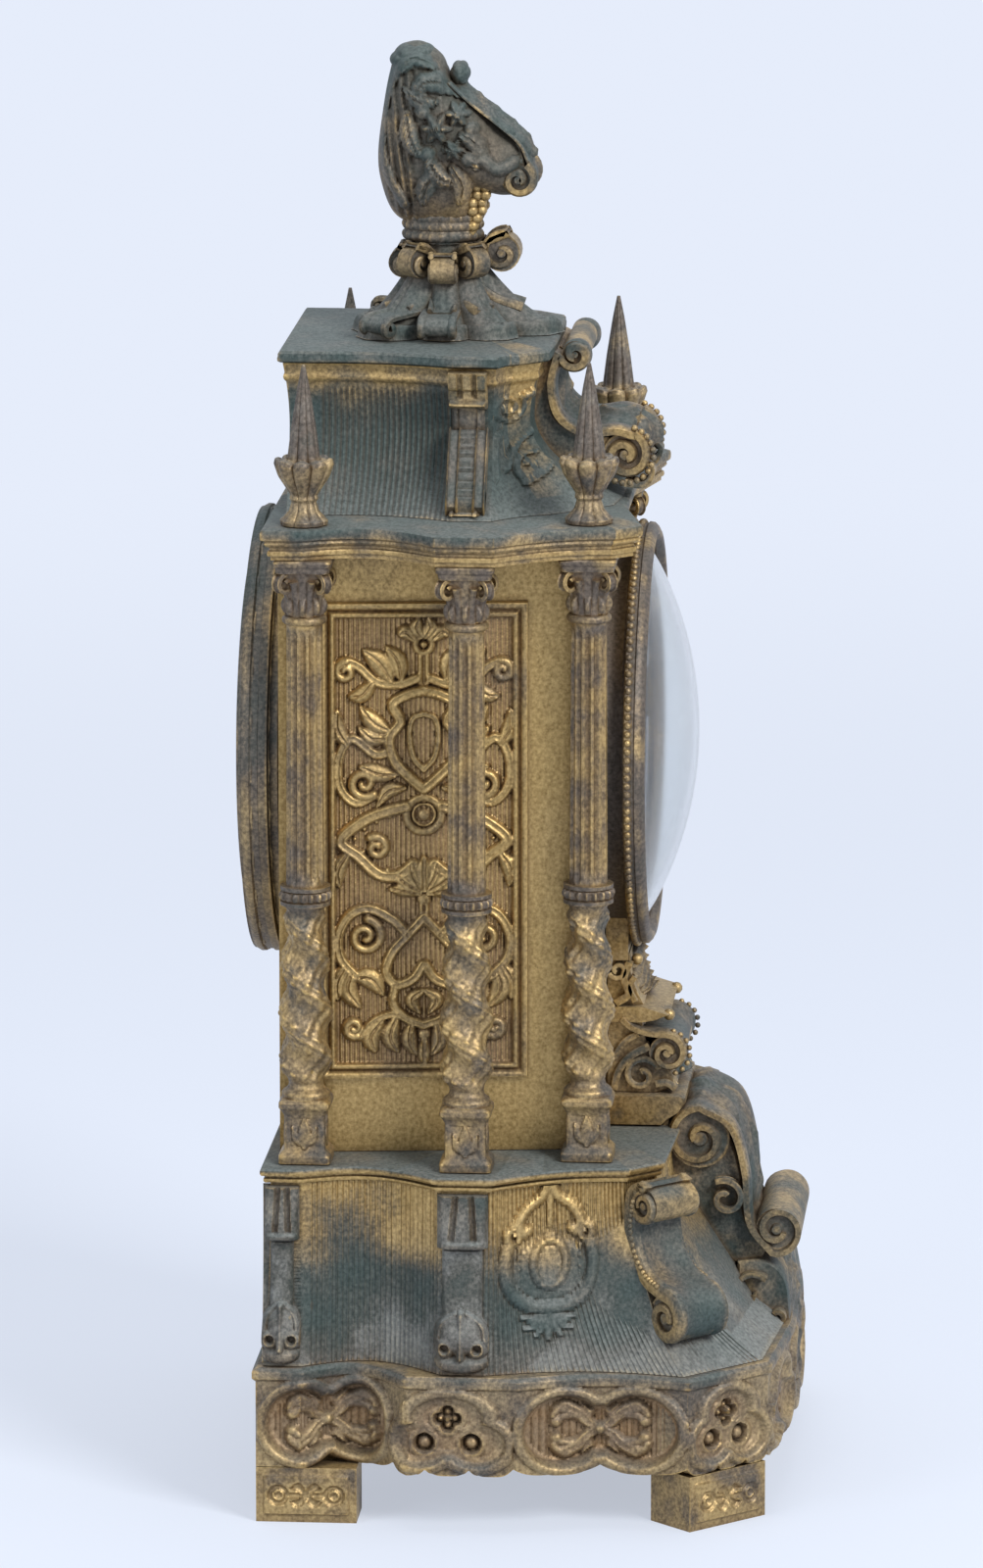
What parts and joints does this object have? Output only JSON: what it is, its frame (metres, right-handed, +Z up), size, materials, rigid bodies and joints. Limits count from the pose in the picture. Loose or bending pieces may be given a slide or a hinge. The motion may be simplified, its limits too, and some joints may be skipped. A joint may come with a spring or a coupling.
{
  "type": "mantel clock",
  "caption": "Bronze mantel clock with a columned case on a flared base, ribbed roof, crest, hinged domed glass, rear door, striking movement and pendulum.",
  "frame": {"origin": "on the table, under the middle of the clock", "axes": "+Z up; the dial faces -Y; X across the clock"},
  "size_m": [0.2128, 0.17, 0.446],
  "materials": {
    "gilt_bronze": "worn gilding",
    "patinated_bronze": "dark green patina",
    "brass": "polished",
    "steel": "satin",
    "enamel": "glossy",
    "glass": "clear"
  },
  "bodies": {
    "case": {"foot_rear_left": "gilt_bronze", "foot_rear_right": "gilt_bronze", "foot_front_left": "gilt_bronze", "foot_front_right": "gilt_bronze", "base_plinth": "gilt_bronze", "case_shell": "gilt_bronze", "column_rear_left": "gilt_bronze", "column_rear_right": "gilt_bronze", "column_mid_left": "gilt_bronze", "column_mid_right": "gilt_bronze", "column_front_left": "gilt_bronze", "column_front_right": "gilt_bronze", "roof_gable": "gilt_bronze", "dial_drum": "gilt_bronze", "back_ring": "gilt_bronze", "base_cavetto": "patinated_bronze", "front_console": "patinated_bronze", "front_stage": "patinated_bronze", "entablature": "patinated_bronze", "spire_rear_left": "patinated_bronze", "spire_rear_right": "patinated_bronze", "spire_front_left": "patinated_bronze", "spire_front_right": "patinated_bronze", "roof_shell": "patinated_bronze", "roof_cap": "patinated_bronze", "crest_foliage": "patinated_bronze", "crest_cartouche": "patinated_bronze", "side_panel_left": "brass", "side_panel_right": "brass", "front_plate": "brass", "back_plate": "brass", "back_cock": "brass", "bell": "brass", "crest_tie_rod": "steel", "strap_left": "steel", "strap_right": "steel", "bell_stand": "steel", "dial": "enamel"},
    "front_bezel": {"bezel_ring": "brass", "bezel_glass": "glass"},
    "rear_door": {"back_door": "gilt_bronze"},
    "minute_work": {"cannon_pinion": "steel", "minute_hand": "steel"},
    "minute_wheel": {"minute_wheel": "brass"},
    "hour_work": {"hour_wheel": "brass", "hour_hand": "steel"},
    "third_arbor": {"third_wheel": "brass"},
    "centre_arbor": {"centre_wheel": "brass"},
    "escape_arbor": {"escape_wheel": "brass"},
    "second_arbor": {"second_wheel": "brass"},
    "going_barrel": {"going_barrel": "brass"},
    "going_winder": {"going_winding_arbor": "steel"},
    "strike_winder": {"strike_winding_arbor": "steel"},
    "pin_arbor": {"pin_wheel": "brass"},
    "strike_barrel": {"strike_barrel": "brass"},
    "fly": {"fly": "brass"},
    "pendulum": {"pendulum_rod": "steel", "pendulum_bob": "brass"},
    "anchor": {"pallet_anchor": "steel"},
    "hammer": {"strike_hammer": "steel"}
  },
  "joints": [
    {"name": "bezel_hinge", "type": "hinge", "parent": "case", "child": "front_bezel", "pos_m": [0.068, -0.03236, 0.23], "axis": [0, 0, 1], "range_deg": [0, 110]},
    {"name": "rear_door_hinge", "type": "hinge", "parent": "case", "child": "rear_door", "pos_m": [0.072, 0.07644, 0.23], "axis": [0, 0, -1], "range_deg": [0, 110]},
    {"name": "minute_turn", "type": "hinge", "parent": "case", "child": "minute_work", "pos_m": [0, 0.00474, 0.23], "axis": [0, 1, 0], "continuous": true},
    {"name": "minute_wheel_turn", "type": "hinge", "parent": "case", "child": "minute_wheel", "pos_m": [0, 0.00474, 0.2396], "axis": [0, 1, 0], "continuous": true},
    {"name": "hour_turn", "type": "hinge", "parent": "case", "child": "hour_work", "pos_m": [0, 0.00474, 0.23], "axis": [0, 1, 0], "continuous": true},
    {"name": "third_turn", "type": "hinge", "parent": "case", "child": "third_arbor", "pos_m": [-0.0078, 0.00474, 0.24351], "axis": [0, 1, 0], "continuous": true},
    {"name": "centre_turn", "type": "hinge", "parent": "case", "child": "centre_arbor", "pos_m": [0, 0.00474, 0.23], "axis": [0, 1, 0], "continuous": true},
    {"name": "escape_turn", "type": "hinge", "parent": "case", "child": "escape_arbor", "pos_m": [0, 0.00474, 0.25518], "axis": [0, 1, 0], "continuous": true},
    {"name": "second_turn", "type": "hinge", "parent": "case", "child": "second_arbor", "pos_m": [0.01337, 0.00474, 0.24107], "axis": [0, 1, 0], "continuous": true},
    {"name": "going_barrel_turn", "type": "hinge", "parent": "case", "child": "going_barrel", "pos_m": [0.0215, 0.00474, 0.219], "axis": [0, 1, 0], "continuous": true},
    {"name": "going_winding_turn", "type": "hinge", "parent": "case", "child": "going_winder", "pos_m": [0.0215, 0.00474, 0.219], "axis": [0, 1, 0], "continuous": true},
    {"name": "strike_winding_turn", "type": "hinge", "parent": "case", "child": "strike_winder", "pos_m": [-0.0215, 0.00474, 0.219], "axis": [0, 1, 0], "continuous": true},
    {"name": "pin_turn", "type": "hinge", "parent": "case", "child": "pin_arbor", "pos_m": [-0.02558, 0.00474, 0.24216], "axis": [0, 1, 0], "continuous": true},
    {"name": "strike_barrel_turn", "type": "hinge", "parent": "case", "child": "strike_barrel", "pos_m": [-0.0215, 0.00474, 0.219], "axis": [0, 1, 0], "continuous": true},
    {"name": "fly_turn", "type": "hinge", "parent": "case", "child": "fly", "pos_m": [-0.02209, 0.00474, 0.2552], "axis": [0, 1, 0], "continuous": true},
    {"name": "pendulum_swing", "type": "hinge", "parent": "case", "child": "pendulum", "pos_m": [0, 0.03134, 0.26658], "axis": [0, 1, 0], "range_deg": [-4, 4]},
    {"name": "anchor_swing", "type": "hinge", "parent": "case", "child": "anchor", "pos_m": [0, 0.03134, 0.26658], "axis": [0, 1, 0], "range_deg": [-4, 4]},
    {"name": "hammer_swing", "type": "hinge", "parent": "case", "child": "hammer", "pos_m": [-0.028, 0.03134, 0.1965], "axis": [0, 1, 0], "range_deg": [-12, 4.5], "stiffness_Nm_per_rad": 0.05}
  ],
  "couplings": [
    {"joint": "minute_wheel_turn", "follows": "minute_turn", "ratio": -0.33333},
    {"joint": "hour_turn", "follows": "minute_turn", "ratio": 0.083333},
    {"joint": "centre_turn", "follows": "third_turn", "ratio": -0.083333},
    {"joint": "escape_turn", "follows": "third_turn", "ratio": -12},
    {"joint": "second_turn", "follows": "third_turn", "ratio": 0.013889},
    {"joint": "going_barrel_turn", "follows": "third_turn", "ratio": -0.0023148},
    {"joint": "strike_barrel_turn", "follows": "pin_turn", "ratio": -0.16667},
    {"joint": "fly_turn", "follows": "pin_turn", "ratio": -8},
    {"joint": "anchor_swing", "follows": "pendulum_swing", "ratio": 1}
  ]
}
